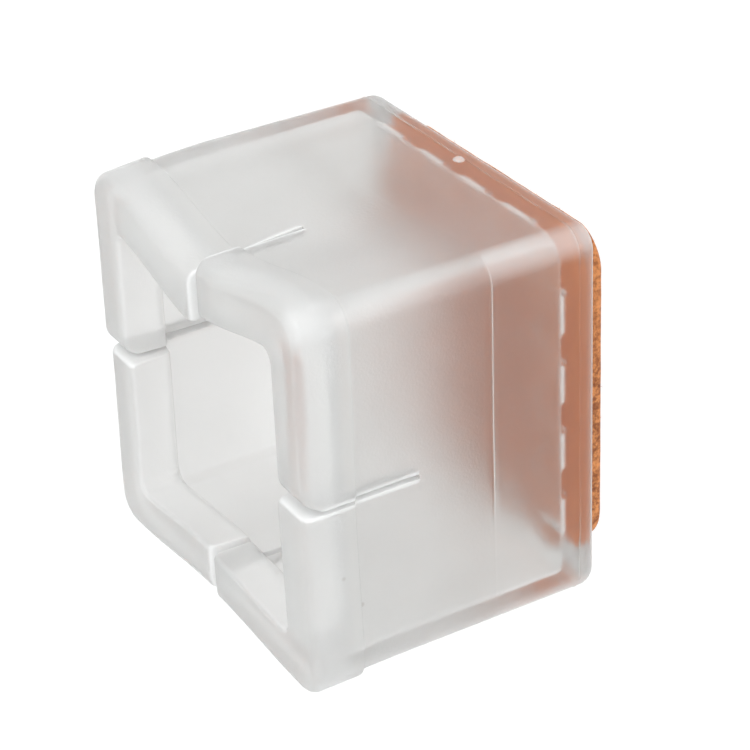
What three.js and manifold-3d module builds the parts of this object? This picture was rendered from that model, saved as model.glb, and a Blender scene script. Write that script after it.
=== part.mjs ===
// Square slip-on cap for a chair leg: a soft translucent moulding with a slit in each side, so that its
// four corners can spread over the leg, and a felt pad stuck under its base.
// Millimetres. +Z points out of the mouth, and the origin is the middle of the felt's underside.

import * as THREE from 'three';
import { mergeVertices } from 'three/addons/utils/BufferGeometryUtils.js';
import Module from 'manifold-3d';

const wasm = await Module();
wasm.setup();

// Moulding, outside
const bodyWidth = 40; // across the plain walls
const bodyHeight = 32.5; // underside of the base to the mouth
const outerCornerRadius = 2.6; // long edges, seen from above
const baseEdgeRadius = 1.1;

// Moulding, inside
const wallThickness = 2.3;
const floorThickness = 2.4;
const cavityCornerRadius = 0.6;
const floorFilletRadius = 0.4;

// Band outside the mouth and grip bead inside it
const bandHeight = 5.5;
const bandProud = 0.45;
const beadHeight = 4.6;
const beadDepth = 2.4; // how far the bead stands in from the wall
const beadSlope = 0.4; // fall of the bead's underside
const beadCornerRadius = 1.5;
const mouthOuterRadius = 1.4;
const mouthInnerRadius = 0.8;

// Slits, and the bending line at their ends
const slitLength = 12.5;
const slitWidth = 0.5;
const slitMouthRadius = 2; // rounded corners of the flaps
const bendGap = 0.3; // clearance between the base and each flap

// Raised line round the walls, where the mould parted
const seamDrop = 8; // below the ends of the slits
const seamWidth = 0.5;
const seamProud = 0.15;

// Grid of low pads on the floor, which the leg stands on
const padCount = 5; // along each side
const padWidth = 3.7;
const padHeight = 1.1;
const padMargin = 1.05; // from the wall to where an outer pad would end if it didn't run into it

// Gate mark on the +X side of the base
const gateHeight = 2.6; // above the base's underside
const gateRadius = 0.7;
const gateProud = 0.25;

// Felt pad and the adhesive that holds it
const feltThickness = 2.4;
const feltInset = 2.4; // felt's edge to the cap's side
const feltCornerRadius = 3;
const feltEdgeRadius = 0.5;
const adhesiveThickness = 0.2;
const adhesiveInset = 0.6; // adhesive's edge to the felt's edge

// Facets
const cornerSteps = 6; // each rounded corner, seen from above
const filletSteps = 4;

// Levels and half-widths that follow from the sizes
const adhesiveLevel = feltThickness;
const baseLevel = feltThickness + adhesiveThickness;
const floorLevel = baseLevel + floorThickness;
const mouthLevel = baseLevel + bodyHeight;
const bendLevel = mouthLevel - slitLength;
const seamLevel = bendLevel - seamDrop;
const bodyHalf = bodyWidth / 2;
const bandHalf = bodyHalf + bandProud;
const cavityHalf = bodyHalf - wallThickness;
const beadHalf = cavityHalf - beadDepth;
const feltHalf = bodyHalf - feltInset;
const reach = bodyWidth + bodyHeight; // past every face, for cutters

// Closed ring of points: a square with rounded corners, at height z
function roundedSquare(half, radius, z) {
  const ring = [];
  const centre = half - radius;
  for (let corner = 0; corner < 4; corner += 1) {
    const start = (corner * Math.PI) / 2;
    const signX = corner === 0 || corner === 3 ? 1 : -1;
    const signY = corner < 2 ? 1 : -1;
    for (let step = 0; step <= cornerSteps; step += 1) {
      const angle = start + (step / cornerSteps) * (Math.PI / 2);
      const x = signX * centre + radius * Math.cos(angle);
      const y = signY * centre + radius * Math.sin(angle);
      ring.push([x, y, z]);
    }
  }
  return ring;
}

// Closed skin over a run of rings, with a flat cap on the first and the last one
function loft(rings) {
  const count = rings[0].length;
  const points = rings.flat();
  const faces = [];
  for (let row = 0; row + 1 < rings.length; row += 1) {
    for (let column = 0; column < count; column += 1) {
      const next = (column + 1) % count;
      const a = row * count + column;
      const b = row * count + next;
      faces.push(a, b, b + count, a, b + count, a + count);
    }
  }
  const lastRow = (rings.length - 1) * count;
  const firstCentre = points.push([0, 0, rings[0][0][2]]) - 1;
  const lastCentre = points.push([0, 0, rings[rings.length - 1][0][2]]) - 1;
  for (let column = 0; column < count; column += 1) {
    const next = (column + 1) % count;
    faces.push(firstCentre, next, column);
    faces.push(lastCentre, lastRow + column, lastRow + next);
  }
  const geometry = new THREE.BufferGeometry();
  geometry.setAttribute('position', new THREE.Float32BufferAttribute(points.flat(), 3));
  geometry.setIndex(faces);
  return geometry;
}

// Quarter-round profile from one angle to another, as [half-width, height] pairs
function quarter(centreHalf, centreLevel, radius, fromAngle, toAngle) {
  const profile = [];
  for (let step = 0; step <= filletSteps; step += 1) {
    const angle = fromAngle + (step / filletSteps) * (toAngle - fromAngle);
    profile.push([centreHalf + radius * Math.cos(angle), centreLevel + radius * Math.sin(angle)]);
  }
  return profile;
}

// Rings for a profile whose plan corners all turn about the same centres
function ringsOf(profile, cornerCentre) {
  return profile.map(([half, level]) => roundedSquare(half, half - cornerCentre, level));
}

// Closed mesh to solid and back, for joins and cuts
function solid(geometry) {
  const bare = geometry.clone();
  bare.deleteAttribute('normal');
  bare.deleteAttribute('uv');
  const merged = mergeVertices(bare);
  const vertProperties = new Float32Array(merged.attributes.position.array);
  const triVerts = new Uint32Array(merged.index.array);
  return new wasm.Manifold(new wasm.Mesh({ numProp: 3, vertProperties, triVerts }));
}

function geometryOf(manifold) {
  const mesh = manifold.getMesh();
  const geometry = new THREE.BufferGeometry();
  geometry.setAttribute('position', new THREE.BufferAttribute(mesh.vertProperties, 3));
  geometry.setIndex(new THREE.BufferAttribute(mesh.triVerts, 1));
  geometry.computeVertexNormals();
  return geometry;
}

function block(low, high) {
  const size = high.map((value, axis) => value - low[axis]);
  const middle = high.map((value, axis) => (value + low[axis]) / 2);
  return new THREE.BoxGeometry(...size).translate(...middle);
}

// The whole moulding before it is slit: outside, over the mouth, then down inside to the floor
function mouldingSolid() {
  const right = 0;
  const up = Math.PI / 2;
  const down = -Math.PI / 2;
  const outerCentre = bodyHalf - outerCornerRadius;
  const cavityCentre = cavityHalf - cavityCornerRadius;
  const beadCentre = beadHalf - beadCornerRadius;
  const baseEdge = Math.min(baseEdgeRadius, outerCornerRadius);
  const mouthOuter = Math.min(mouthOuterRadius, outerCornerRadius);
  const floorFillet = Math.min(floorFilletRadius, cavityCornerRadius);
  const outside = [
    ...quarter(bodyHalf - baseEdge, baseLevel + baseEdge, baseEdge, down, right),
    [bodyHalf, seamLevel - seamWidth / 2],
    [bodyHalf + seamProud, seamLevel],
    [bodyHalf, seamLevel + seamWidth / 2],
    [bodyHalf, mouthLevel - bandHeight],
    [bandHalf, mouthLevel - bandHeight + bandProud],
    ...quarter(bandHalf - mouthOuter, mouthLevel - mouthOuter, mouthOuter, right, up),
  ];
  const bead = [
    ...quarter(beadHalf + mouthInnerRadius, mouthLevel - mouthInnerRadius, mouthInnerRadius, up, Math.PI),
    [beadHalf, mouthLevel - beadHeight],
  ];
  const cavity = [
    [cavityHalf, mouthLevel - beadHeight - beadSlope],
    ...quarter(cavityHalf - floorFillet, floorLevel + floorFillet, floorFillet, right, down),
  ];
  const rings = [
    ...ringsOf(outside, outerCentre),
    ...ringsOf(bead, beadCentre),
    ...ringsOf(cavity, cavityCentre),
  ];
  return solid(loft(rings));
}

// Straight slit through two opposite walls, with the flaps' rounded corners at the mouth
function slitCutter() {
  const half = slitWidth / 2;
  const round = slitMouthRadius;
  const roundLevel = mouthLevel - round;
  const side = half + round;
  const shape = new THREE.Shape();
  shape.moveTo(-half, bendLevel - bendGap);
  shape.lineTo(half, bendLevel - bendGap);
  shape.lineTo(half, roundLevel);
  shape.absarc(side, roundLevel, round, Math.PI, Math.PI / 2, true);
  shape.lineTo(side, mouthLevel + round);
  shape.lineTo(-side, mouthLevel + round);
  shape.absarc(-side, roundLevel, round, Math.PI / 2, 0, true);
  shape.closePath();
  const options = { depth: 2 * reach, bevelEnabled: false, curveSegments: filletSteps };
  return new THREE.ExtrudeGeometry(shape, options).translate(0, 0, -reach).rotateX(Math.PI / 2);
}

// Start and end of one floor pad along a side, where the outer pads run into the wall
function padRange(index) {
  const span = 2 * (cavityHalf - padMargin) - padWidth;
  const middle = span * (index / (padCount - 1) - 0.5);
  const intoWall = cavityHalf + wallThickness / 2;
  const low = index === 0 ? -intoWall : middle - padWidth / 2;
  const high = index === padCount - 1 ? intoWall : middle + padWidth / 2;
  return [low, high];
}

// Base: everything under the bending line, with the floor pads and the gate mark
function capBase(moulding) {
  const top = bendLevel - bendGap / 2;
  let base = moulding.intersect(solid(block([-reach, -reach, -reach], [reach, reach, top])));
  const padRoot = floorLevel - floorThickness / 2;
  const padTop = floorLevel + padHeight;
  for (let column = 0; column < padCount; column += 1) {
    for (let row = 0; row < padCount; row += 1) {
      const [lowX, highX] = padRange(column);
      const [lowY, highY] = padRange(row);
      base = base.add(solid(block([lowX, lowY, padRoot], [highX, highY, padTop])));
    }
  }
  const gateLength = gateProud + wallThickness / 2;
  const gate = new THREE.CylinderGeometry(gateRadius, gateRadius, gateLength, 2 * cornerSteps);
  gate.rotateZ(Math.PI / 2).translate(bodyHalf + gateProud - gateLength / 2, 0, baseLevel + gateHeight);
  return geometryOf(base.add(solid(gate)));
}

// Corner flap: one quarter of the slit walls above the bending line
function cornerFlap(slitMoulding, signX, signY) {
  const bottom = bendLevel + bendGap / 2;
  const low = [Math.min(0, signX * reach), Math.min(0, signY * reach), bottom];
  const high = [Math.max(0, signX * reach), Math.max(0, signY * reach), reach + mouthLevel];
  return geometryOf(slitMoulding.intersect(solid(block(low, high))));
}

// Felt: a die-cut rounded square with softened edges
function feltPad() {
  const centre = feltHalf - feltCornerRadius;
  const edge = Math.min(feltEdgeRadius, feltThickness / 2);
  const profile = [
    ...quarter(feltHalf - edge, edge, edge, -Math.PI / 2, 0),
    ...quarter(feltHalf - edge, feltThickness - edge, edge, 0, Math.PI / 2),
  ];
  return loft(ringsOf(profile, centre));
}

function adhesiveSheet() {
  const half = feltHalf - adhesiveInset;
  const centre = feltHalf - feltCornerRadius;
  const profile = [
    [half, adhesiveLevel],
    [half, baseLevel],
  ];
  return loft(ringsOf(profile, centre));
}

// Finishes
function clearElastomer() {
  const look = { color: 0xd8d9d6, roughness: 0.45, metalness: 0, transparent: true, opacity: 0.55 };
  return new THREE.MeshStandardMaterial(look);
}

function tanFelt() {
  return new THREE.MeshStandardMaterial({ color: 0xb06f45, roughness: 0.95, metalness: 0 });
}

function clearAdhesive() {
  return new THREE.MeshStandardMaterial({ color: 0xd9cfc0, roughness: 0.6, metalness: 0 });
}

function addPiece(group, name, geometry, material) {
  const mesh = new THREE.Mesh(geometry, material);
  mesh.name = name;
  group.add(mesh);
}

const cap = new THREE.Group();
const moulding = mouldingSolid();
const slitAcrossX = solid(slitCutter());
const slitAcrossY = solid(slitCutter().rotateZ(Math.PI / 2));
const slitMoulding = moulding.subtract(slitAcrossX).subtract(slitAcrossY);
const flaps = [
  ['flap_front_right', 1, -1],
  ['flap_back_right', 1, 1],
  ['flap_back_left', -1, 1],
  ['flap_front_left', -1, -1],
];

addPiece(cap, 'cap_base', capBase(moulding), clearElastomer());
for (const [name, signX, signY] of flaps) {
  addPiece(cap, name, cornerFlap(slitMoulding, signX, signY), clearElastomer());
}
addPiece(cap, 'adhesive_sheet', adhesiveSheet(), clearAdhesive());
addPiece(cap, 'felt_pad', feltPad(), tanFelt());

export default cap;
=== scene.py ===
# %% [markdown]
# # A soft chair leg cap with a felt foot
# The real cap is a square cup moulded in a clear, frosted elastomer. It slips over the end of a chair
# leg, and a felt pad glued under its base slides on the floor. The measured solids already exist, so
# this lesson loads them as a fixed frame and dresses them. Everything stays in metres and in that frame:
# +Z points out of the mouth, and the felt stands on z = 0.

# %% Load the frame
import math

import bmesh
import bpy
import numpy as np
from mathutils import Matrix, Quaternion, Vector


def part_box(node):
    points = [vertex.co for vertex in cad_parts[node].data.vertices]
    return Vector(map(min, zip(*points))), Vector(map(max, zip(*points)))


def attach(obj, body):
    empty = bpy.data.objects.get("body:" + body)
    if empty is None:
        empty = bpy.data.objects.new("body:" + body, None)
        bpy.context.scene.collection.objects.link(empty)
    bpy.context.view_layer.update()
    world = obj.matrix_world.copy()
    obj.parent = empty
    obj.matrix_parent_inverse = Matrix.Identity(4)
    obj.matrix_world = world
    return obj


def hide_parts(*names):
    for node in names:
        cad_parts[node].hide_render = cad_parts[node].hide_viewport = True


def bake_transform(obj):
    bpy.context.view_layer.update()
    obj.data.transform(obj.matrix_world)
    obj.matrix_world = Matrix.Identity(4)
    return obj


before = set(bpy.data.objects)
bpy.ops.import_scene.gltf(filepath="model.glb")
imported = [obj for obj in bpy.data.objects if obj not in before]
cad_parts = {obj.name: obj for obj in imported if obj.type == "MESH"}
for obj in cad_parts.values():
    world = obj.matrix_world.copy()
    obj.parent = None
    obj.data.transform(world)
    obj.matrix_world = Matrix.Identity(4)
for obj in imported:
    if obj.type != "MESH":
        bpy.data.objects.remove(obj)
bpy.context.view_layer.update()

MM = 0.001
scene = bpy.context.scene
print("solids:", sorted(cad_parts))

# %% [markdown]
# ## The camera
# A photograph of a small thing is taken from close by, so its edges run together. A camera could be
# placed by hand, but four numbers say it better: the two angles of the view, the distance and the roll.
# The cap lies on its side in the picture, so the camera is rolled past a right angle instead of turning
# the cap, and every piece keeps its place in the frame.

# %% Place the camera
AIM = Vector((-0.02, -1.16, 16.18)) * MM
AZIMUTH = math.radians(33.35)
ELEVATION = math.radians(25.64)
DISTANCE = 257.5 * MM
ROLL = math.radians(-108.4)
LENS = 125.5

towards_camera = Vector((
    math.sin(AZIMUTH) * math.cos(ELEVATION),
    -math.cos(AZIMUTH) * math.cos(ELEVATION),
    math.sin(ELEVATION),
))
camera_data = bpy.data.cameras.new("camera")
camera_data.lens = LENS
camera_data.clip_start = 10 * MM
camera = bpy.data.objects.new("camera", camera_data)
scene.collection.objects.link(camera)
camera.location = AIM + DISTANCE * towards_camera
camera.rotation_mode = "QUATERNION"
level_view = (-towards_camera).to_track_quat("-Z", "Y")
camera.rotation_quaternion = level_view @ Quaternion((0, 0, 1), ROLL)
scene.camera = camera
print("camera at", [round(value, 4) for value in camera.location])

# %% [markdown]
# ## Node trees written as sums
# Materials and repeated shapes are both trees of nodes. Adding each Math node by hand hides what is being
# worked out, so one small class wraps a socket and lets Python's own operators add the nodes. Its node
# method makes any other node: the settings are set first, because they decide which sockets exist.

# %% Wrap a socket
class Wire:
    """An output socket of a node tree. Arithmetic on wires adds Math nodes to the tree."""

    def __init__(self, tree, socket=None):
        self.tree = tree
        self.socket = socket

    def node(self, kind, settings=(), sockets=(), output=0):
        """Adds a node with its settings, then sets or links its sockets, and returns one output."""
        made = self.tree.nodes.new(kind)
        for name, value in dict(settings).items():
            setattr(made, name, value)
        for name, value in dict(sockets).items():
            if isinstance(value, Wire):
                self.tree.links.new(value.socket, made.inputs[name])
            else:
                made.inputs[name].default_value = value
        return Wire(self.tree, made.outputs[output] if made.outputs else None)

    def math(self, operation, first, second=0.0):
        return self.node("ShaderNodeMath", {"operation": operation}, {0: first, 1: second})

    def __add__(self, other):
        return self.math("ADD", self, other)

    __radd__ = __add__

    def __sub__(self, other):
        return self.math("SUBTRACT", self, other)

    def __rsub__(self, other):
        return self.math("SUBTRACT", other, self)

    def __mul__(self, other):
        return self.math("MULTIPLY", self, other)

    __rmul__ = __mul__

    def ramp(self, low, high):
        """This value carried smoothly from low..high to 0..1."""
        limits = {"Value": self, "From Min": low, "From Max": high}
        return self.node("ShaderNodeMapRange", {"interpolation_type": "SMOOTHSTEP"}, limits)

    def mixed(self, first, second):
        """A colour that goes from first to second as this value goes from 0 to 1."""
        sockets = {"Factor": self, 6: first, 7: second}
        return self.node("ShaderNodeMix", {"data_type": "RGBA"}, sockets, output=2)


def new_material(name):
    """An empty material and a wire to start its tree from."""
    material = bpy.data.materials.new(name)
    material.use_nodes = True
    material.node_tree.nodes.clear()
    return material, Wire(material.node_tree)


def show(start, surface):
    """Joins a finished shader to the material's output."""
    start.node("ShaderNodeOutputMaterial", sockets={"Surface": surface})


print("signs that add nodes: + - *")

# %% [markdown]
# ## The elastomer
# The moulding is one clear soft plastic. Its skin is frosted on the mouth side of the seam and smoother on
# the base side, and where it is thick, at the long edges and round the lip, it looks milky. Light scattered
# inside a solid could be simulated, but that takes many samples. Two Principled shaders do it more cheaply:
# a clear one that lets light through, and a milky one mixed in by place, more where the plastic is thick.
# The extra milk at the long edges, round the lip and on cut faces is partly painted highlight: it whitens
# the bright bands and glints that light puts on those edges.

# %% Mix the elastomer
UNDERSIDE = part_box("cap_base")[0][2]
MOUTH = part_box("flap_front_right")[1][2]
SEAM_LEVEL = UNDERSIDE + 12.0 * MM
SEAM_SOFTNESS = 0.25 * MM
EDGE_START = 17.0 * MM
EDGE_FULL = 19.0 * MM
UPPER_START = SEAM_LEVEL + 1.0 * MM
UPPER_FULL = SEAM_LEVEL + 9.0 * MM
LIP_START = MOUTH - 5.2 * MM
LIP_FULL = MOUTH - 2.5 * MM
RIM_START = UNDERSIDE + 1.8 * MM
RIM_FULL = UNDERSIDE + 0.5 * MM
GRAIN_SCALE = 3600.0
CLOUD_SCALE = 120.0
SMOOTH_ROUGHNESS = 0.30
FROST_ROUGHNESS = 0.08
# Shares of the milky shader: the edge, frosted_edge and lip shares are partly thick plastic, partly painted
# highlight.
MILK_AND_HIGHLIGHT_SHARE = {"all": 0.03, "upper": 0.10, "edge": 0.30, "frosted_edge": 0.14, "lip": 0.17, "rim": 0.10}
# Milk on cut faces and the skin beside the slits: partly the white of a cut, partly a painted glint.
CUT_MILK_AND_GLINT = 0.4
SPECKS = [
    Vector((-7.7, -20.4, 31.4)) * MM,
    Vector((-11.5, -20.0, 29.4)) * MM,
    Vector((19.0, 0.1, 10.1)) * MM,
]
SPECK_RADIUS = 0.35 * MM


def axes_of(start, vector, names):
    """The named parts of a vector, as wires."""
    for axis in names:
        yield start.node("ShaderNodeSeparateXYZ", sockets={"Vector": vector}, output=axis)


def elastomer_material(name, cut_milk_and_glint):
    """The frosted plastic, with more milk on a face that has been cut, partly the white of the cut and partly
    a painted glint.
    """
    material, start = new_material(name)
    place = start.node("ShaderNodeTexCoord", output="Object")
    x, y, z = axes_of(start, place, "XYZ")
    frosted = z.ramp(SEAM_LEVEL - SEAM_SOFTNESS, SEAM_LEVEL + SEAM_SOFTNESS)
    beside_x = x.math("ABSOLUTE", x).ramp(EDGE_START, EDGE_FULL)
    beside_y = y.math("ABSOLUTE", y).ramp(EDGE_START, EDGE_FULL)
    upper = z.ramp(UPPER_START, UPPER_FULL)
    lip = z.ramp(LIP_START, LIP_FULL)
    rim = z.ramp(RIM_START, RIM_FULL)
    grain = start.node("ShaderNodeTexNoise", sockets={"Vector": place, "Scale": GRAIN_SCALE, "Detail": 2.0})
    cloud = start.node("ShaderNodeTexNoise", sockets={"Vector": place, "Scale": CLOUD_SCALE, "Detail": 3.0})
    roughness = SMOOTH_ROUGHNESS + FROST_ROUGHNESS * frosted
    bump = start.node("ShaderNodeBump", sockets={
        "Height": grain * frosted, "Strength": 0.25, "Distance": 0.06 * MM,
    }, output="Normal")
    tint = cloud.ramp(0.3, 0.7).mixed((0.83, 0.832, 0.822, 1), (0.87, 0.872, 0.862, 1))
    for spot in SPECKS:
        ends = {0: place, 1: spot}
        apart = start.node("ShaderNodeVectorMath", {"operation": "DISTANCE"}, ends, output="Value")
        tint = apart.ramp(SPECK_RADIUS, 0.4 * SPECK_RADIUS).mixed(tint, (0.62, 0.60, 0.56, 1))
    clear = start.node("ShaderNodeBsdfPrincipled", sockets={
        "Base Color": tint, "Roughness": roughness, "Normal": bump, "Transmission Weight": 1.0, "IOR": 1.45,
    })
    milk = start.node("ShaderNodeBsdfPrincipled", sockets={
        "Base Color": cloud.mixed((0.85, 0.86, 0.86, 1), (0.90, 0.91, 0.91, 1)), "Roughness": roughness,
        "Normal": bump,
    })
    # Milk at the long edges, less where frosted: partly thick plastic, partly a painted highlight band.
    thick_edge_and_highlight = beside_x * beside_y * (MILK_AND_HIGHLIGHT_SHARE["edge"] - MILK_AND_HIGHLIGHT_SHARE["frosted_edge"] * frosted)
    share = MILK_AND_HIGHLIGHT_SHARE["all"] + MILK_AND_HIGHLIGHT_SHARE["upper"] * upper + thick_edge_and_highlight
    # The milk round the lip is partly painted highlight, and the cut finish adds a painted glint.
    share = share + MILK_AND_HIGHLIGHT_SHARE["lip"] * lip + MILK_AND_HIGHLIGHT_SHARE["rim"] * rim + cut_milk_and_glint
    show(start, start.node("ShaderNodeMixShader", sockets={0: share, 1: clear, 2: milk}))
    print(name, "has", len(material.node_tree.nodes), "nodes")
    return material


elastomer = elastomer_material("frosted_elastomer", 0.0)
# The cut finish carries extra milk, partly the white of a cut and partly a painted glint.
cut_and_glint_elastomer = elastomer_material("cut_and_glint_elastomer", CUT_MILK_AND_GLINT)

# %% [markdown]
# ## Where two pieces of one moulding meet
# The flaps bend, so each is a piece of its own, yet on the real cap they run into the base without a joint.
# The pieces are closed solids, and the faces where they meet lie inside the plastic. A material with no
# alpha lets light pass those inner faces as if they weren't there.

# %% Mix the inner join
inner_join, start = new_material("inner_join")
show(start, start.node("ShaderNodeBsdfPrincipled", sockets={"Base Color": (0.9, 0.9, 0.9, 1), "Alpha": 0.0}))
print("inner join has", len(inner_join.node_tree.nodes), "nodes")

# %% [markdown]
# ## One section, carried round a rounded square
# Every ring of the cap is a square with round corners, and the wall is one section carried round it. A
# bevelled box would give the outside, but not the bead, the band and the soft lip together. So the wall is
# lofted: each row of the section has its own half-width, corner centre and level, and each station walks
# from one slit, round a corner, to the next slit.

# %% Give the moulding its sizes
BODY_HALF = 20.0 * MM
OUTER_CENTRE = 17.4 * MM
CAVITY_HALF = 17.7 * MM
CAVITY_CENTRE = 16.7 * MM
BEAD_HALF = 15.3 * MM
BEAD_CENTRE = 13.8 * MM
BAND_HALF = 20.45 * MM
SLIT_HALF = 0.25 * MM
BEND = MOUTH - 12.5 * MM
BAND_EDGE = MOUTH - 5.5 * MM
FLOOR = UNDERSIDE + 2.4 * MM
print("underside %.2f mm, mouth %.2f mm" % (UNDERSIDE / MM, MOUTH / MM))


def smooth(value):
    """0 below 0, 1 above 1, with an eased curve between."""
    value = np.clip(value, 0.0, 1.0)
    return value * value * (3.0 - 2.0 * value)


def arc(half, level, radius, first, last, steps):
    """Points of an arc in the wall's section, as pairs of half-width and level."""
    angles = np.radians(np.linspace(first, last, steps + 1))
    return [(half + radius * math.cos(angle), level + radius * math.sin(angle)) for angle in angles]


def rows_of(pairs, centre):
    """Section rows that share one corner centre."""
    return [(half, centre, level) for half, level in pairs]


def upright(half, low, high, count):
    """A straight run of the section at one half-width."""
    return [(half, level) for level in np.linspace(low, high, count)]

# %% [markdown]
# ## Stations round a quarter of the wall
# A quarter of the wall runs from a slit to a corner and on to the next slit. Points crowd together beside
# the slits, where the cut edges are rounded, and round the corner. The same stations serve the base and the
# flaps, so their rings meet point for point at the bending line.

# %% Space the stations
NEAR_SLIT = np.array([0, 0.05, 0.11, 0.18, 0.26, 0.36, 0.5, 0.7, 0.95, 1.25, 1.6, 2.0, 2.5, 3.0]) * MM
FAR_SHARES = np.linspace(0, 1, 11)[1:]
CORNER_TURNS = np.radians(np.linspace(0, 90, 13))


def wall_distances(centre):
    """Distances from the slit along one wall, up to the start of the corner."""
    run = centre - SLIT_HALF - NEAR_SLIT[-1]
    return np.concatenate([NEAR_SLIT, NEAR_SLIT[-1] + run * FAR_SHARES])


STATIONS = 2 * len(wall_distances(OUTER_CENTRE)) + len(CORNER_TURNS) - 2
slit_distance = wall_distances(OUTER_CENTRE)
slit_distance = np.concatenate([slit_distance, np.full(len(CORNER_TURNS) - 2, 1.0), slit_distance[::-1]])


def quarter_ring(half, centre):
    """One row of a quarter in the corner where x and y are positive, with half given at each station."""
    along = SLIT_HALF + wall_distances(centre)
    walls = len(along)
    turn = CORNER_TURNS[1:-1]
    reach = half[walls:-walls] - centre
    x = np.concatenate([half[:walls], centre + reach * np.cos(turn), along[::-1]])
    y = np.concatenate([along, centre + reach * np.sin(turn), half[-walls:]])
    return x, y

print("stations in a quarter:", STATIONS)

# %% [markdown]
# ## How the soft walls have drawn in
# The real walls aren't flat. Each side sinks in towards its slit, most of all at the mouth, and the four
# corners lean a little out of true, as soft mouldings do after they leave the mould. The same rule moves the
# base and the flaps: a bow that both share, and a lean that starts at the bending line and belongs to one
# flap alone. Shape keys would do this too, but a rule in code keeps the pieces matched.

# %% Write the rule of the draw-in
SIDES = {"right": (1, 0), "back": (0, 1), "left": (-1, 0), "front": (0, -1)}
WALL_BOW = {"right": 2.4 * MM, "back": 0.0 * MM, "left": 0.6 * MM, "front": 0.3 * MM}
BOW_START = UNDERSIDE + 3.4 * MM
SKIN_START = 11.0 * MM
SKIN_FULL = 14.5 * MM
SHIFT_START = 4.0 * MM
SHIFT_RUN = 12.0 * MM
LEAN_LIMIT = 1.2
LEAN_POWER = 1.5
FLAP_LEAN = {
    ("front_right", "right"): 0.4 * MM, ("front_right", "front"): -0.3 * MM,
    ("back_right", "right"): 2.0 * MM, ("back_right", "back"): -0.4 * MM,
    ("back_left", "back"): 0.6 * MM, ("back_left", "left"): 0.6 * MM,
    ("front_left", "left"): 0.1 * MM, ("front_left", "front"): 0.1 * MM,
}
CORNER_SIGNS = {
    "front_right": (1, -1), "back_right": (1, 1), "back_left": (-1, 1), "front_left": (-1, -1),
}
CORNER_SHIFT = {
    "front_right": (0.0, 0.0), "back_right": (-0.9, 0.0),
    "back_left": (0.0, 0.0), "front_left": (-0.2, 0.0),
}


def draw_in(points, corner):
    """Moves points of the quarter at that corner, shaped (..., 3), and returns the moved copy."""
    moved = points.copy()
    x, y, z = points[..., 0], points[..., 1], points[..., 2]
    bowed = smooth((z - BOW_START) / (BEND - BOW_START))
    leaning = np.clip((z - BEND) / (MOUTH - BEND), 0.0, LEAN_LIMIT) ** LEAN_POWER
    for side, (normal_x, normal_y) in SIDES.items():
        outward = normal_x * x + normal_y * y
        across = np.abs(normal_y * x + normal_x * y)
        beside = smooth((outward - SKIN_START) / (SKIN_FULL - SKIN_START))
        middle = np.cos(np.clip(across / OUTER_CENTRE, 0.0, 1.0) * math.pi / 2) ** 2
        depth = WALL_BOW[side] * bowed + FLAP_LEAN.get((corner, side), 0.0) * leaning
        moved[..., 0] -= normal_x * depth * middle * beside
        moved[..., 1] -= normal_y * depth * middle * beside
    shift = np.array(CORNER_SHIFT[corner]) * MM
    towards_corner = smooth((np.minimum(np.abs(x), np.abs(y)) - SHIFT_START) / SHIFT_RUN)
    moved[..., 0] += shift[0] * leaning * towards_corner
    moved[..., 1] += shift[1] * leaning * towards_corner
    return moved

print("deepest bow %.1f mm" % (max(WALL_BOW.values()) / MM))

# %% [markdown]
# ## Turning a grid of points into a closed mesh
# A loft is a grid: stations one way, rows of the section the other. The helper below makes the mesh, lets
# Blender turn every face outwards, and keeps only the real edges sharp, so that the rounded ones shade
# smoothly.

# %% Make a mesh from faces
SHARP_ANGLE = math.radians(35)


def solid_piece(name, points, faces, slots):
    """A closed piece from points and (corners, slot index) pairs, with outward faces."""
    mesh = bpy.data.meshes.new(name)
    mesh.from_pydata([tuple(point) for point in points], [], [corners for corners, _ in faces])
    for material in slots:
        mesh.materials.append(material)
    mesh.polygons.foreach_set("material_index", [index for _, index in faces])
    build = bmesh.new()
    build.from_mesh(mesh)
    bmesh.ops.recalc_face_normals(build, faces=build.faces)
    loose = [edge for edge in build.edges if len(edge.link_faces) != 2]
    print(name, "faces", len(build.faces), "open edges", len(loose))
    build.to_mesh(mesh)
    build.free()
    mesh.shade_smooth()
    mesh.set_sharp_from_angle(angle=SHARP_ANGLE)
    piece = bpy.data.objects.new(name, mesh)
    scene.collection.objects.link(piece)
    return piece


print("edges are sharp above %.0f degrees" % math.degrees(SHARP_ANGLE))

# %% [markdown]
# ## The four corner flaps
# Between the slits the mouth is four soft corners that spread as the leg goes in. Each has a thicker band
# outside, a round lip, and a bead inside that grips the leg. The section is written once, from the bending
# line up the outside, over the lip and down the inside, as runs and arcs with few but well placed rows.

# %% Write the flap's section
LIP_RADIUS = 1.1 * MM
LIP_INNER_RADIUS = 0.5 * MM
BEAD_LOW = MOUTH - 4.6 * MM
BEAD_FOOT = BEAD_LOW - 0.4 * MM
BEAD_EDGE = 0.35 * MM
STEP = 0.22 * MM
BEAD_FACE_TOP = MOUTH - 1.4 * MM
FOOT_EASE = 0.2 * MM

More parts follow.
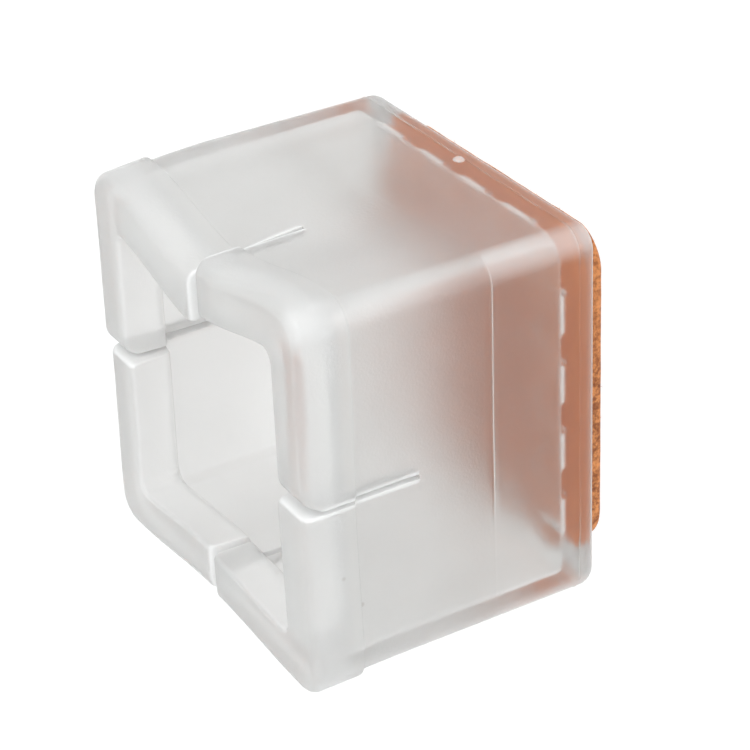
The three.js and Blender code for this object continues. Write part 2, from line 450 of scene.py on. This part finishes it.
flap_rows = rows_of(upright(BODY_HALF, BEND, BAND_EDGE - 2 * STEP, 11), OUTER_CENTRE)
flap_rows += rows_of(arc(BODY_HALF + STEP, BAND_EDGE - STEP, STEP, 180, 90, 3), OUTER_CENTRE)
flap_rows += rows_of(arc(BAND_HALF - STEP, BAND_EDGE + STEP, STEP, -90, 0, 3), OUTER_CENTRE)
flap_rows += rows_of(upright(BAND_HALF, BAND_EDGE + 3 * STEP, MOUTH - LIP_RADIUS, 5), OUTER_CENTRE)
lip_outside, lip_inside = BAND_HALF - LIP_RADIUS, BEAD_HALF + LIP_INNER_RADIUS
flap_rows += rows_of(arc(lip_outside, MOUTH - LIP_RADIUS, LIP_RADIUS, 10, 90, 9), OUTER_CENTRE)
flap_rows += rows_of(arc(lip_inside, MOUTH - LIP_INNER_RADIUS, LIP_INNER_RADIUS, 90, 180, 7), BEAD_CENTRE)
flap_rows += rows_of(upright(BEAD_HALF, BEAD_FACE_TOP, BEAD_LOW + 2 * BEAD_EDGE, 5), BEAD_CENTRE)
bead_turn = arc(BEAD_HALF + BEAD_EDGE, BEAD_LOW + BEAD_EDGE, BEAD_EDGE, 180, 265, 4)
flap_rows += rows_of(bead_turn, BEAD_CENTRE)
flap_rows += [(CAVITY_HALF - FOOT_EASE, CAVITY_CENTRE, BEAD_FOOT)]
flap_rows += rows_of(upright(CAVITY_HALF, BEAD_FOOT - FOOT_EASE, BEND, 9), CAVITY_CENTRE)
print("rows in the flap's section:", len(flap_rows))

# %% [markdown]
# ## Rounded ends at the slits
# A slit leaves two cut faces, and soft plastic looks white along a cut. The cut faces and the skin beside
# them take a milkier finish, partly that white and partly a painted glint along the slit edges. Beside a slit
# the lip is rounded off and the cut edges are eased, and both fade out towards the bending line, so that the
# flap meets the base exactly. A bevel would round every edge alike, so the drop is worked out from the
# distance to the slit.

# %% Loft the flaps
SLIT_ROUNDING = {
    ("front_right", "right"): 2.0 * MM, ("front_right", "front"): 2.2 * MM,
    ("back_right", "right"): 0.8 * MM, ("back_right", "back"): 1.6 * MM,
    ("back_left", "left"): 0.8 * MM, ("back_left", "back"): 0.5 * MM,
    ("front_left", "left"): 0.8 * MM, ("front_left", "front"): 0.8 * MM,
}
CUT_EDGE_RADIUS = 0.15 * MM
# Stations beside each slit whose skin takes the cut finish, a painted glint along the slit edge.
GLINT_EDGE_STATIONS = 5
LIP_ROUNDING_FROM = MOUTH - 3.9 * MM
EASING_RUN = 3.0 * MM


def quarter_drop(distance, radius):
    """How far a rounded edge falls away at that distance from its end."""
    inside = np.clip(radius - distance, 0.0, radius)
    return radius - np.sqrt(radius * radius - inside * inside)


def flap_points(corner):
    """Points of a flap, turned into the corner where x and y are positive, shaped (stations, rows, 3)."""
    section = np.array(flap_rows)
    runs = np.gradient(section[:, [0, 2]], axis=0)
    lengths = np.linalg.norm(runs, axis=1)
    facing_out = runs[:, 1] / lengths
    facing_up = -runs[:, 0] / lengths
    eased = quarter_drop(slit_distance, CUT_EDGE_RADIUS)
    y_side, x_side = corner.split("_")
    lowered = quarter_drop(slit_distance, SLIT_ROUNDING[corner, x_side])
    half_way = STATIONS // 2
    lowered[half_way:] = quarter_drop(slit_distance, SLIT_ROUNDING[corner, y_side])[half_way:]
    points = np.zeros((STATIONS, len(section), 3))
    for index, (half, centre, level) in enumerate(section):
        fade = smooth((level - BEND) / EASING_RUN)
        halves = half - facing_out[index] * eased * fade
        levels = level - facing_up[index] * eased * fade
        share = np.clip((levels - LIP_ROUNDING_FROM) / (MOUTH - LIP_ROUNDING_FROM), 0.0, 1.0)
        points[:, index, 0], points[:, index, 1] = quarter_ring(halves, centre)
        points[:, index, 2] = levels - lowered * share
    return points


def flap_faces(rows):
    """Faces of a flap: its skin, the join to the base, and the cut ends with their white edges, partly
    painted glint.
    """
    faces = []
    for station in range(STATIONS - 1):
        glint_beside_cut = min(station, STATIONS - 2 - station) < GLINT_EDGE_STATIONS
        for row in range(rows):
            following = (row + 1) % rows
            corners = (station * rows + row, station * rows + following,
                       (station + 1) * rows + following, (station + 1) * rows + row)
            # Skin beside a cut takes the cut finish: partly the white of the cut, partly a painted glint.
            skin = 2 if glint_beside_cut else 0
            faces.append((corners, 1 if following == 0 else skin))
    faces.append((tuple(range(rows)), 2))
    faces.append((tuple((STATIONS - 1) * rows + row for row in range(rows)), 2))
    return faces


flaps = {}
for corner, signs in CORNER_SIGNS.items():
    placed = draw_in(flap_points(corner) * np.array([signs[0], signs[1], 1.0]), corner)
    flaps[corner] = solid_piece(
        "soft_flap_" + corner, placed.reshape(-1, 3), flap_faces(len(flap_rows)),
        [elastomer, inner_join, cut_and_glint_elastomer],
    )

# %% [markdown]
# ## The cup under the flaps
# Below the slits the walls are unbroken. The section starts under the base, rounds its edge, climbs past a
# fine parting line near the base and the seam where the frost begins, turns in at the bending line, and goes
# down the inside to the floor. The ring of the base uses the flaps' own stations, four quarters in turn.

# %% Loft the cup
BASE_EDGE_RADIUS = 1.6 * MM
FLOOR_FILLET = 1.5 * MM
LEAST_CORNER = 0.4 * MM
FILLET_CLEARANCE = 0.3 * MM
PARTING_LEVEL = UNDERSIDE + 2.2 * MM
PARTING_WIDTH = 0.3 * MM
PARTING_PROUD = 0.06 * MM
SEAM_WIDTH = 0.45 * MM
SEAM_PROUD = 0.11 * MM
RIB_CLEARANCE = 0.8 * MM
SEAM_FADE = 0.85
SEAM_FADE_RUN = 9.0 * MM


def ridge(level, width, proud):
    """A low rounded rib on the outer wall."""
    shape = [(-1.0, 0.0), (-0.6, 0.25), (-0.3, 0.8), (0.0, 1.0), (0.3, 0.8), (0.6, 0.25), (1.0, 0.0)]
    return [(BODY_HALF + proud * height, level + width / 2 * step) for step, height in shape]


base_edge = arc(BODY_HALF - BASE_EDGE_RADIUS, UNDERSIDE + BASE_EDGE_RADIUS, BASE_EDGE_RADIUS, -90, 0, 8)
lower_wall = upright(BODY_HALF, PARTING_LEVEL + RIB_CLEARANCE, SEAM_LEVEL - RIB_CLEARANCE, 9)
seam_rib = ridge(SEAM_LEVEL, SEAM_WIDTH, SEAM_PROUD)
upper_wall = upright(BODY_HALF, SEAM_LEVEL + RIB_CLEARANCE, BEND, 10)
cup_rows = rows_of(base_edge, OUTER_CENTRE)
cup_rows += rows_of(ridge(PARTING_LEVEL, PARTING_WIDTH, PARTING_PROUD), OUTER_CENTRE)
cup_rows += rows_of(lower_wall, OUTER_CENTRE)
seam_rows = range(len(cup_rows), len(cup_rows) + len(seam_rib))
cup_rows += rows_of(seam_rib, OUTER_CENTRE)
cup_rows += rows_of(upper_wall, OUTER_CENTRE)
top_row = len(cup_rows) - 1
fillet_top = FLOOR + FLOOR_FILLET
cup_rows += rows_of(upright(CAVITY_HALF, BEND, fillet_top + FILLET_CLEARANCE, 16), CAVITY_CENTRE)
for half, level in arc(CAVITY_HALF - FLOOR_FILLET, fillet_top, FLOOR_FILLET, 0, -90, 8):
    cup_rows.append((half, min(CAVITY_CENTRE, half - LEAST_CORNER), level))

RING_ORDER = ["back_right", "back_left", "front_left", "front_right"]
walls = len(wall_distances(OUTER_CENTRE))


def seam_share(side):
    """How much of the seam shows at each station: none on the x walls, fading on one half of the others."""
    fading = 1.0 - SEAM_FADE * smooth(slit_distance[:walls][::-1] / SEAM_FADE_RUN)
    along = np.ones(walls) if side > 0 else fading
    corner = np.linspace(0.0, along[0], len(CORNER_TURNS) - 2)
    return np.concatenate([np.zeros(walls), corner, along])


def cup_points():
    """Points of the cup, four quarters of stations in turn, shaped (4 x stations, rows, 3)."""
    quarters = []
    for corner in RING_ORDER:
        signs = CORNER_SIGNS[corner]
        points = np.zeros((STATIONS, len(cup_rows), 3))
        for index, (half, centre, level) in enumerate(cup_rows):
            halves = np.full(STATIONS, half)
            if index in seam_rows:
                halves = BODY_HALF + (half - BODY_HALF) * seam_share(signs[0])
            points[:, index, 0], points[:, index, 1] = quarter_ring(halves, centre)
            points[:, index, 2] = level
        placed = draw_in(points * np.array([signs[0], signs[1], 1.0]), corner)
        quarters.append(placed if signs[0] * signs[1] > 0 else placed[::-1])
    return np.concatenate(quarters)


def cup_faces(rows):
    """Faces of the cup: its walls, the join to the flaps with the slits' ends, its underside and floor."""
    faces = []
    count = 4 * STATIONS
    for station in range(count):
        following = (station + 1) % count
        under_slit = station % STATIONS == STATIONS - 1
        for row in range(rows - 1):
            corners = (station * rows + row, station * rows + row + 1,
                       following * rows + row + 1, following * rows + row)
            faces.append((corners, 1 if row == top_row and not under_slit else 0))
    faces.append((tuple(station * rows for station in range(count)), 0))
    faces.append((tuple(station * rows + rows - 1 for station in range(count)), 0))
    return faces


cup = solid_piece("soft_cup", cup_points().reshape(-1, 3), cup_faces(len(cup_rows)), [elastomer, inner_join])

# %% [markdown]
# ## The pads on the floor of the cup
# The leg stands on a grid of small square pads, which show through the wall as a row of pale patches.
# One pad is a block with eased edges. Geometry Nodes repeats it on a grid, so the count, the pitch and the
# size stay inputs that can be changed without touching the mesh.

# %% Repeat the pads with Geometry Nodes
PAD_COUNT = 5
PAD_PITCH = 7.4 * MM
PAD_WIDTH = 3.7 * MM
PAD_HEIGHT = 1.1 * MM
PAD_SINK = 0.4 * MM
PAD_EDGE = 0.65 * MM
PAD_WALL_REACH = 1.8 * MM
OUTERMOST_SHARE = 0.49


def socket_identifier(tree, name):
    """The identifier by which a modifier knows a tree's input."""
    return next(item.identifier for item in tree.interface.items_tree
                if item.item_type == "SOCKET" and item.in_out == "INPUT" and item.name == name)


def new_geometry_tree(name, inputs):
    """A geometry tree with a geometry input and output and the named inputs, and a wire to start from."""
    tree = bpy.data.node_groups.new(name, "GeometryNodeTree")
    tree.interface.new_socket("Geometry", in_out="INPUT", socket_type="NodeSocketGeometry")
    for input_name, socket_type in inputs.items():
        tree.interface.new_socket(input_name, in_out="INPUT", socket_type=socket_type)
    tree.interface.new_socket("Geometry", in_out="OUTPUT", socket_type="NodeSocketGeometry")
    return tree, Wire(tree)


def finish_geometry(start, geometry, material):
    """Ends a tree in real geometry with a material."""
    real = start.node("GeometryNodeRealizeInstances", sockets={"Geometry": geometry})
    painted = start.node("GeometryNodeSetMaterial", sockets={"Geometry": real, "Material": material})
    start.node("NodeGroupOutput", sockets={"Geometry": painted})


def grown(name, holder, tree, values):
    """Runs a geometry tree on an object and returns the result as a plain mesh piece."""
    modifier = holder.modifiers.new(name, "NODES")
    modifier.node_group = tree
    for input_name, value in values.items():
        modifier[socket_identifier(tree, input_name)] = value
    bpy.context.view_layer.update()
    evaluated = holder.evaluated_get(bpy.context.evaluated_depsgraph_get())
    mesh = bpy.data.meshes.new_from_object(evaluated)
    mesh.name = name
    holder.modifiers.remove(modifier)
    piece = bpy.data.objects.new(name, mesh)
    scene.collection.objects.link(piece)
    return piece


def eased_block(name, width, height, edge):
    """A block standing on z = 0 with eased edges."""
    build = bmesh.new()
    bmesh.ops.create_cube(build, size=1.0)
    bmesh.ops.scale(build, vec=(width, width, height), verts=build.verts)
    bmesh.ops.translate(build, vec=(0, 0, height / 2), verts=build.verts)
    bmesh.ops.bevel(build, geom=build.edges, offset=edge, segments=2, profile=0.5, affect="EDGES")
    mesh = bpy.data.meshes.new(name)
    build.to_mesh(mesh)
    build.free()
    block = bpy.data.objects.new(name, mesh)
    scene.collection.objects.link(block)
    return block


pad_tree, start = new_geometry_tree("floor_pad_grid", {
    "Count": "NodeSocketInt", "Pitch": "NodeSocketFloat", "Level": "NodeSocketFloat",
    "Wall Reach": "NodeSocketFloat", "Pad": "NodeSocketObject",
})
group = start.tree.nodes.new("NodeGroupInput")
count, pitch = Wire(pad_tree, group.outputs["Count"]), Wire(pad_tree, group.outputs["Pitch"])
span = pitch * (count - 1)
grid = start.node("GeometryNodeMeshGrid", sockets={
    "Size X": span, "Size Y": span, "Vertices X": count, "Vertices Y": count,
})
reach = Wire(pad_tree, group.outputs["Wall Reach"])
point = start.node("GeometryNodeInputPosition")
moves, sizes = [], []
for axis in "XY":
    along = start.node("ShaderNodeSeparateXYZ", sockets={"Vector": point}, output=axis)
    outer = start.math("GREATER_THAN", start.math("ABSOLUTE", along), span * OUTERMOST_SHARE)
    moves.append(start.math("SIGN", along) * outer * reach * 0.5)
    sizes.append(1.0 + outer * reach * (1.0 / PAD_WIDTH))
lift = start.node("ShaderNodeCombineXYZ", sockets={
    "X": moves[0], "Y": moves[1], "Z": Wire(pad_tree, group.outputs["Level"]),
})
stretch = start.node("ShaderNodeCombineXYZ", sockets={"X": sizes[0], "Y": sizes[1], "Z": 1.0})
pad = start.node("GeometryNodeObjectInfo", sockets={"Object": Wire(pad_tree, group.outputs["Pad"])},
                 output="Geometry")
pads = start.node("GeometryNodeInstanceOnPoints", sockets={"Points": grid, "Instance": pad, "Scale": stretch})
pads = start.node("GeometryNodeTranslateInstances", sockets={
    "Instances": pads, "Translation": lift, "Local Space": False,
})
finish_geometry(start, pads, elastomer)

pad_block = eased_block("pad_block", PAD_WIDTH, PAD_HEIGHT + PAD_SINK, PAD_EDGE)
pad_holder = bpy.data.objects.new("pad_holder", bpy.data.meshes.new("pad_holder"))
scene.collection.objects.link(pad_holder)
floor_pads = grown("floor_pads", pad_holder, pad_tree, {
    "Count": PAD_COUNT, "Pitch": PAD_PITCH, "Level": FLOOR - PAD_SINK,
    "Wall Reach": PAD_WALL_REACH, "Pad": pad_block,
})
bpy.data.objects.remove(pad_block)
bpy.data.objects.remove(pad_holder)
print("pad grid: %d faces" % len(floor_pads.data.polygons))

# %% [markdown]
# ## One moulding from cup and pads
# The pads are part of the moulding, so no face may lie between them and the floor: light would catch on it.
# Sinking them in and leaving them would show that face, so a Boolean joins them and the leftover is removed.

# %% Join the pads to the cup
def joined(piece, addition):
    """Unites two closed pieces into the first one's place and removes both originals."""
    modifier = piece.modifiers.new("union", "BOOLEAN")
    modifier.operation = "UNION"
    modifier.solver = "EXACT"
    modifier.material_mode = "TRANSFER"
    modifier.object = addition
    bpy.context.view_layer.update()
    evaluated = piece.evaluated_get(bpy.context.evaluated_depsgraph_get())
    mesh = bpy.data.meshes.new_from_object(evaluated)
    piece.modifiers.remove(modifier)
    bpy.data.objects.remove(addition)
    piece.data = mesh
    mesh.shade_smooth()
    mesh.set_sharp_from_angle(angle=SHARP_ANGLE)
    return piece


cup = joined(cup, floor_pads)
print("cup with pads: %d faces" % len(cup.data.polygons))

# %% [markdown]
# ## The gate mark
# Plastic enters the mould through a small gate, and a nub stays where it is snapped off. A flattened ball
# half sunk in the wall is enough, joined like the pads so that the plastic stays one solid.

# %% Add the gate mark
GATE_PLACE = Vector((19.85, -0.3, 5.3)) * MM
GATE_SIZE = Vector((0.45, 0.7, 0.6)) * MM


def gate_nub():
    """A small flattened ball at the gate's place."""
    build = bmesh.new()
    bmesh.ops.create_uvsphere(build, u_segments=20, v_segments=12, radius=1.0)
    bmesh.ops.scale(build, vec=GATE_SIZE, verts=build.verts)
    bmesh.ops.translate(build, vec=GATE_PLACE, verts=build.verts)
    mesh = bpy.data.meshes.new("gate_nub")
    build.to_mesh(mesh)
    build.free()
    mesh.materials.append(cut_and_glint_elastomer)
    nub = bpy.data.objects.new("gate_nub", mesh)
    scene.collection.objects.link(nub)
    return nub


cup = joined(cup, gate_nub())
finishes = [finish.name for finish in cup.data.materials]
print("cup with gate mark: %d faces, finishes %s" % (len(cup.data.polygons), finishes))

# %% [markdown]
# ## Felt
# The foot is pressed felt: short wool and synthetic fibres in several browns, matted together. A flat brown
# would read as plastic. Two noises at the size of a fibre give the speckle, and a wider one the patches that
# pressing leaves. Fibres that have worked loose are real geometry, further on.

# %% Mix the felt
FIBRE_SCALE = 2600.0
TUFT_SCALE = 700.0
PATCH_SCALE = 150.0

felt, start = new_material("pressed_felt")
place = start.node("ShaderNodeTexCoord", output="Object")
fibre = start.node("ShaderNodeTexNoise", sockets={"Vector": place, "Scale": FIBRE_SCALE, "Detail": 3.0})
tuft = start.node("ShaderNodeTexNoise", sockets={"Vector": place, "Scale": TUFT_SCALE, "Detail": 2.0})
patch = start.node("ShaderNodeTexNoise", sockets={"Vector": place, "Scale": PATCH_SCALE, "Detail": 2.0})
speckle = (fibre * 0.6 + tuft * 0.4).ramp(0.36, 0.64)
deep = patch.ramp(0.35, 0.65).mixed((0.23, 0.065, 0.018, 1), (0.34, 0.11, 0.034, 1))
colour = speckle.mixed(deep, (0.70, 0.28, 0.095, 1))
bump = start.node("ShaderNodeBump", sockets={
    "Height": fibre + tuft, "Strength": 0.9, "Distance": 0.15 * MM,
}, output="Normal")
show(start, start.node("ShaderNodeBsdfPrincipled", sockets={
    "Base Color": colour, "Roughness": 0.95, "Normal": bump, "Sheen Weight": 0.08, "Sheen Roughness": 0.5,
}))
print("felt has", len(felt.node_tree.nodes), "nodes")

# %% [markdown]
# ## The felt pad
# The pad is a rounded square cut from sheet. Cutting leaves its sides a little uneven and its edges soft,
# so the outline wavers by a tenth of a millimetre and the edges are rounded in rows. A cloth simulation would
# swell it like a cushion, which pressed felt never does, so small moves of its points do the work.

# %% Cut the felt pad
FELT_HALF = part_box("felt_pad")[1][0]
FELT_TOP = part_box("felt_pad")[1][2]
FELT_CORNER = 4.0 * MM
FELT_EDGE = 0.5 * MM
FELT_WAVER = 0.12 * MM
FELT_SHIFT = np.array([-0.15, 0.0]) * MM
FELT_TRIM = np.array([0.15, 0.6]) * MM
FELT_SEED = 11
FELT_SIDE_POINTS = 56
FELT_CORNER_POINTS = 13
TOP_EASE = 0.3 * MM
TOP_EASE_INSET = 0.08 * MM
TOP_EASE_DROP = 0.12 * MM
felt_random = np.random.default_rng(FELT_SEED)


def felt_ring(half, radius):
    """A fine ring of a rounded square, with points about half a millimetre apart."""
    centre = half - radius
    steps = np.linspace(-centre, centre, FELT_SIDE_POINTS)[:-1]
    turns = np.radians(np.linspace(0, 90, FELT_CORNER_POINTS))[:-1]
    side = [(half, step) for step in steps]
    side += [(centre + radius * math.cos(turn), centre + radius * math.sin(turn)) for turn in turns]
    ring = np.array(side)
    quarters = [ring]
    for _ in range(3):
        last = quarters[-1]
        quarters.append(np.stack([-last[:, 1], last[:, 0]], axis=1))
    return np.concatenate(quarters)


felt_levels = [(FELT_EDGE, 0.0), (0.5 * FELT_EDGE, 0.13 * FELT_EDGE), (0.13 * FELT_EDGE, 0.5 * FELT_EDGE),
               (0.0, FELT_EDGE)]
side_levels = np.linspace(FELT_EDGE, FELT_TOP - TOP_EASE, 6)[1:]
felt_levels += [(0.0, level) for level in side_levels]
felt_levels += [(TOP_EASE_INSET, FELT_TOP - TOP_EASE_DROP), (TOP_EASE, FELT_TOP)]
felt_rings = []
count = len(felt_ring(FELT_HALF, FELT_CORNER))
waver = felt_random.normal(0.0, 1.0, (len(felt_levels), count))
for _ in range(2):
    waver = (waver + np.roll(waver, 1, axis=1) + np.roll(waver, -1, axis=1)) / 3
waver = waver / np.abs(waver).max()
for index, (inset, level) in enumerate(felt_levels):
    inside = inset + FELT_WAVER * (1.0 + waver[index]) / 2
    ring = felt_ring(FELT_HALF, FELT_CORNER)
    scale = 1.0 - inside / FELT_HALF
    trimmed = ring * (1.0 - FELT_TRIM / FELT_HALF)
    felt_rings.append(np.column_stack([trimmed * scale[:, None] + FELT_SHIFT, np.full(count, level)]))
felt_faces = []
for index in range(len(felt_rings) - 1):
    for step in range(count):
        following = (step + 1) % count
        felt_faces.append(((index * count + step, index * count + following,
                            (index + 1) * count + following, (index + 1) * count + step), 0))
felt_faces.append((tuple(range(count)), 0))
felt_faces.append((tuple(range((len(felt_rings) - 1) * count, len(felt_rings) * count)), 0))
felt_body = solid_piece("felt_body", np.concatenate(felt_rings), felt_faces, [felt])

# %% [markdown]
# ## Loose fibres
# Cutting leaves fibre ends standing out of the pad's sides. Each is a thin tapered spike. Geometry Nodes
# scatters them over the sides by a seeded count per area, clear of the floor, points them outwards with a
# random lean and scales each one a little differently.

# %% Scatter the fibres with Geometry Nodes
FIBRE_LENGTH = 0.55 * MM
FIBRE_RADIUS = 0.03 * MM
FIBRES_PER_AREA = 2.0e6
FIBRE_FOOT = 0.6 * MM
FIBRE_TAPER = 0.2
FIBRE_LEAN = 0.9
FIBRE_LEAST_SIZE = 0.35
SIDE_TILT = 0.5

fibre_tree, start = new_geometry_tree("loose_fibres", {
    "Density": "NodeSocketFloat", "Lean": "NodeSocketFloat",
    "Seed": "NodeSocketInt", "Length": "NodeSocketFloat",
})
group = start.tree.nodes.new("NodeGroupInput")
seed = Wire(fibre_tree, group.outputs["Seed"])
lean = Wire(fibre_tree, group.outputs["Lean"])
scatter = start.tree.nodes.new("GeometryNodeDistributePointsOnFaces")
fibre_tree.links.new(group.outputs["Geometry"], scatter.inputs["Mesh"])
fibre_tree.links.new(group.outputs["Density"], scatter.inputs["Density"])
fibre_tree.links.new(seed.socket, scatter.inputs["Seed"])
facing, spot = start.node("GeometryNodeInputNormal"), start.node("GeometryNodeInputPosition")
tilt = start.node("ShaderNodeSeparateXYZ", sockets={"Vector": facing}, output="Z")
height = start.node("ShaderNodeSeparateXYZ", sockets={"Vector": spot}, output="Z")
on_side = start.math("LESS_THAN", start.math("ABSOLUTE", tilt), SIDE_TILT)
on_side = on_side * start.math("GREATER_THAN", height, FIBRE_FOOT)
fibre_tree.links.new(on_side.socket, scatter.inputs["Selection"])
spike = start.node("GeometryNodeMeshCone", {"fill_type": "NGON"}, {
    "Vertices": 4, "Side Segments": 1,
    "Radius Top": FIBRE_TAPER * FIBRE_RADIUS, "Radius Bottom": FIBRE_RADIUS,
    "Depth": Wire(fibre_tree, group.outputs["Length"]),
})
wander = start.node("FunctionNodeRandomValue", {"data_type": "FLOAT_VECTOR"},
                    {"Min": (-1.0, -1.0, -1.0), "Max": (1.0, 1.0, 1.0), "Seed": seed})
sway = start.node("ShaderNodeVectorMath", {"operation": "SCALE"}, {0: wander, "Scale": lean})
outward = start.node("ShaderNodeVectorMath", {"operation": "ADD"},
                     {0: Wire(fibre_tree, scatter.outputs["Normal"]), 1: sway})
turned = start.node("FunctionNodeAlignRotationToVector", {"axis": "Z"}, {"Vector": outward})
size = start.node("FunctionNodeRandomValue", {"data_type": "FLOAT"},
                  {2: FIBRE_LEAST_SIZE, 3: 1.0, "Seed": seed}, output=1)
fibres = start.node("GeometryNodeInstanceOnPoints", sockets={
    "Points": Wire(fibre_tree, scatter.outputs["Points"]), "Instance": spike,
    "Rotation": turned, "Scale": size,
})
finish_geometry(start, fibres, felt)
felt_fibres = grown("felt_fibres", felt_body, fibre_tree, {
    "Density": FIBRES_PER_AREA, "Lean": FIBRE_LEAN, "Seed": FELT_SEED, "Length": FIBRE_LENGTH,
})
print("fibres: %d faces" % len(felt_fibres.data.polygons))

# %% [markdown]
# ## The glue film
# A thin double-sided film holds the felt. Glue wets both faces, so nothing but felt colour shows through it:
# with an air gap the base would turn into a mirror from the side. The film therefore reaches a hair into the
# base and into the felt, and takes a mottled brown of its own.

# %% Lay the glue film
WETTING_SCALE = 420.0

glue, start = new_material("wetted_glue_film")
place = start.node("ShaderNodeTexCoord", output="Object")
wetting = start.node("ShaderNodeTexNoise", sockets={"Vector": place, "Scale": WETTING_SCALE, "Detail": 4.0})
colour = wetting.ramp(0.35, 0.65).mixed((0.95, 0.28, 0.07, 1), (1.0, 0.33, 0.10, 1))
show(start, start.node("ShaderNodeBsdfPrincipled", sockets={"Base Color": colour, "Roughness": 0.6}))

GLUE_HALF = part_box("adhesive_sheet")[1][0]
GLUE_HAIR = 0.02 * MM
GLUE_CORNER = FELT_CORNER - 0.6 * MM
ring = felt_ring(GLUE_HALF, GLUE_CORNER) * (1.0 - FELT_TRIM / GLUE_HALF) + FELT_SHIFT
count = len(ring)
glue_points = [(x, y, FELT_TOP - GLUE_HAIR) for x, y in ring]
glue_points += [(x, y, UNDERSIDE + GLUE_HAIR) for x, y in ring]
glue_faces = [(tuple(range(count)), 0), (tuple(range(count, 2 * count)), 0)]
for step in range(count):
    following = (step + 1) % count
    glue_faces.append(((step, following, count + following, count + step), 0))
glue_film = solid_piece("glue_film", glue_points, glue_faces, [glue])

# %% [markdown]
# ## The floor
# The cap lies on a white ground without a shadow, as on a light table. A floor lit by lamps alone would show
# one, so this floor glows as well as catching light. It lies a hair below the felt, so that the two never
# share a plane.

# %% Lay the floor
floor_white, start = new_material("light_table")
show(start, start.node("ShaderNodeBsdfPrincipled", sockets={
    "Base Color": (0.1, 0.1, 0.1, 1), "Roughness": 0.8,
    "Emission Color": (1, 1, 1, 1), "Emission Strength": 0.95,
}))
FLOOR_REACH = 3.0
FLOOR_LEVEL = -0.05 * MM
floor_mesh = bpy.data.meshes.new("ground")
floor_corners = [(-FLOOR_REACH, -FLOOR_REACH, FLOOR_LEVEL), (FLOOR_REACH, -FLOOR_REACH, FLOOR_LEVEL),
                 (FLOOR_REACH, FLOOR_REACH, FLOOR_LEVEL), (-FLOOR_REACH, FLOOR_REACH, FLOOR_LEVEL)]
floor_mesh.from_pydata(floor_corners, [], [(0, 1, 2, 3)])
floor_mesh.materials.append(floor_white)
ground = bpy.data.objects.new("ground", floor_mesh)
scene.collection.objects.link(ground)
print("floor reaches %.1f m each way" % FLOOR_REACH)

# %% [markdown]
# ## The light
# A small clear thing is best lit from all round. The surroundings are a soft white dome that is brighter on
# one side, and a large lamp gives the long edges their bright lines. Light turns many times inside clear
# plastic, so the bounces are raised: with few of them the edges would turn dark.

# %% Light the scene
DOME_DARK = (0.78, 0.79, 0.78, 1)
DOME_BRIGHT = (1.24, 1.24, 1.24, 1)
DOME_TOWARDS = (0.8, -0.6)
LAMP_PLACE = (0.45, -0.25, 0.25)
LAMP_WIDTH = 0.3
LAMP_POWER = 1.0
BOUNCES = 32

world = bpy.data.worlds.new("dome")
scene.world = world
world.use_nodes = True
world.node_tree.nodes.clear()
start = Wire(world.node_tree)
direction = start.node("ShaderNodeTexCoord", output="Generated")
across, depth = axes_of(start, direction, "XY")
lit_side = across * DOME_TOWARDS[0] + depth * DOME_TOWARDS[1]
brightness = lit_side.ramp(-1.0, 1.0).mixed(DOME_DARK, DOME_BRIGHT)
sky = start.node("ShaderNodeBackground", sockets={"Color": brightness, "Strength": 1.0})
start.node("ShaderNodeOutputWorld", sockets={"Surface": sky})


def soft_lamp(name, position, width, power):
    """A square lamp that looks at the cap."""
    data = bpy.data.lights.new(name, "AREA")
    data.shape = "SQUARE"
    data.size = width
    data.energy = power
    lamp = bpy.data.objects.new(name, data)
    scene.collection.objects.link(lamp)
    lamp.location = position
    lamp.rotation_mode = "QUATERNION"
    lamp.rotation_quaternion = (AIM - Vector(position)).to_track_quat("-Z", "Y")
    return lamp


soft_lamp("key_lamp", LAMP_PLACE, LAMP_WIDTH, LAMP_POWER)
scene.view_settings.view_transform = "Standard"
scene.cycles.max_bounces = BOUNCES
scene.cycles.glossy_bounces = BOUNCES
scene.cycles.transmission_bounces = BOUNCES
scene.cycles.transparent_max_bounces = BOUNCES
print("dome and one lamp of %.1f W, %d bounces" % (LAMP_POWER, BOUNCES))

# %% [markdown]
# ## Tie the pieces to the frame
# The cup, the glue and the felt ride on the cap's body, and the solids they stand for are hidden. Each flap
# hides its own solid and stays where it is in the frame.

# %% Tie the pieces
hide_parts("cap_base")
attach(cup, "cap")
for corner, flap in flaps.items():
    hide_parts("flap_" + corner)
    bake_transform(flap)
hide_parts("adhesive_sheet")
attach(glue_film, "cap")
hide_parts("felt_pad")
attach(felt_body, "cap")
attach(felt_fibres, "cap")
print("tied", len([cup, glue_film, felt_body, felt_fibres, *flaps.values()]), "pieces")
